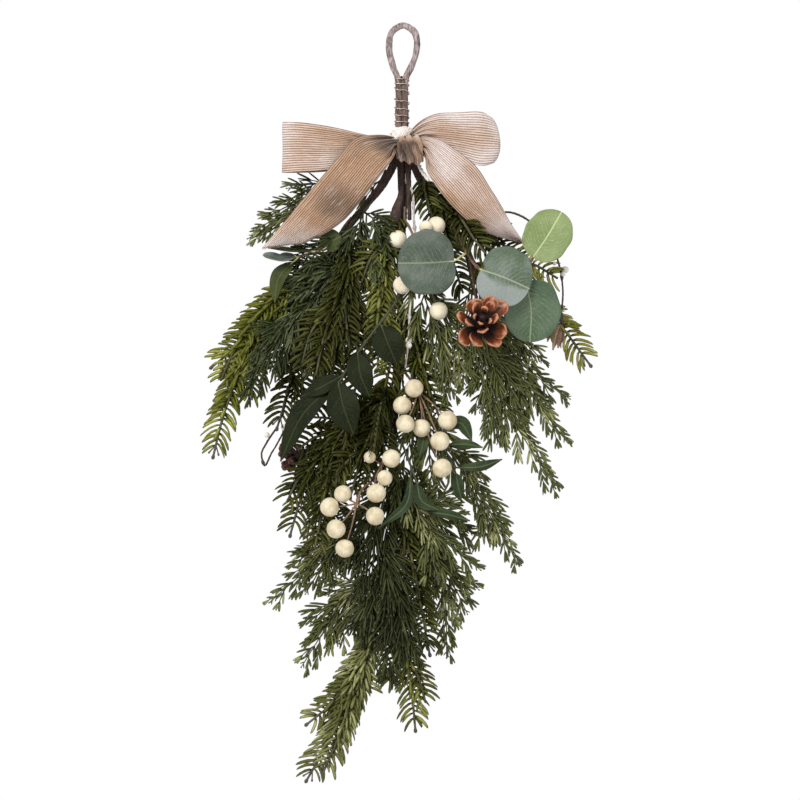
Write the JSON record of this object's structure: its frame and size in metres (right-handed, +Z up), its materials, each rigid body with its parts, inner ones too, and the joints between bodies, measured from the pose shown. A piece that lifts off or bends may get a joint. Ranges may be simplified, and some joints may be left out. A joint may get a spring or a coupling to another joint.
{
  "type": "christmas door swag",
  "caption": "Teardrop bunch of artificial fir and cedar tips with eucalyptus, cream berries, pine cones and a burlap bow, hung by a bent vine loop.",
  "frame": {"origin": "underside of the top of the hanging loop, where the hook bears", "axes": "+Z up along the hanging swag, +X to the right seen from the front, the front faces -Y and the door lies on the +Y side"},
  "size_m": [0.3846, 0.111, 0.7153],
  "materials": {
    "vine_bark": "rough grey-brown bark",
    "binding_wire": "dull light wire",
    "stem_bark": "dark brown bark",
    "cord": "soft twisted cotton",
    "burlap": "open woven burlap ribbon",
    "fir_green": "moulded needles, satin",
    "cedar_green": "moulded needles, satin",
    "eucalyptus_green": "printed leaf, matt with pale veins",
    "laurel_green": "printed leaf, slightly waxy",
    "olive_green": "printed leaf, slightly waxy",
    "berry_cream": "grainy painted foam",
    "cone_brown": "dry cone scales with tan tips",
    "tendril_brown": "thin dark vine",
    "twig_grey": "thin grey twig"
  },
  "bodies": {
    "root": {"hanging_loop": "vine_bark", "handle_wire": "binding_wire", "main_stem": "stem_bark", "branch_left": "stem_bark", "branch_right": "stem_bark", "tie_cord": "cord", "stem_wrap": "stem_bark", "bow_knot": "burlap", "bow_loop_left": "burlap", "bow_loop_right": "burlap", "bow_tail_left": "burlap", "bow_tail_right": "burlap", "fir_spray_left_upper": "fir_green", "fir_spray_left_front": "fir_green", "fir_spray_centre": "fir_green", "fir_spray_left_back": "fir_green", "fir_spray_left_lower": "fir_green", "fir_spray_centre_low": "fir_green", "fir_spray_centre_right": "fir_green", "fir_spray_right": "fir_green", "fir_spray_bottom": "fir_green", "fir_spray_bottom_right": "fir_green", "fir_spray_low_right": "fir_green", "fir_spray_under_bow": "fir_green", "cedar_spray_left_inner": "cedar_green", "cedar_spray_top_left": "cedar_green", "cedar_spray_left_mid": "cedar_green", "cedar_spray_centre": "cedar_green", "cedar_spray_right_long": "cedar_green", "cedar_spray_right_upper": "cedar_green", "cedar_spray_right_mid": "cedar_green", "cedar_spray_right_low": "cedar_green", "cedar_spray_low_front": "cedar_green", "cedar_spray_low_side": "cedar_green", "cedar_spray_bottom_right": "cedar_green", "cedar_spray_low_left": "cedar_green", "cedar_spray_bottom_left": "cedar_green", "cedar_spray_low_centre": "cedar_green", "cedar_spray_bottom_front": "cedar_green", "cedar_spray_back_left": "cedar_green", "eucalyptus_spray_right": "eucalyptus_green", "eucalyptus_spray_left": "eucalyptus_green", "laurel_spray": "laurel_green", "olive_spray_centre": "olive_green", "olive_spray_right": "olive_green", "berry_spray_upper": "berry_cream", "berry_spray_centre": "berry_cream", "berry_spray_middle": "berry_cream", "berry_spray_low_left": "berry_cream", "pine_cone_right": "cone_brown", "pine_cone_left": "cone_brown", "tendril_right": "tendril_brown", "tendril_left": "tendril_brown", "pip_twig": "twig_grey"}
  },
  "joints": []
}
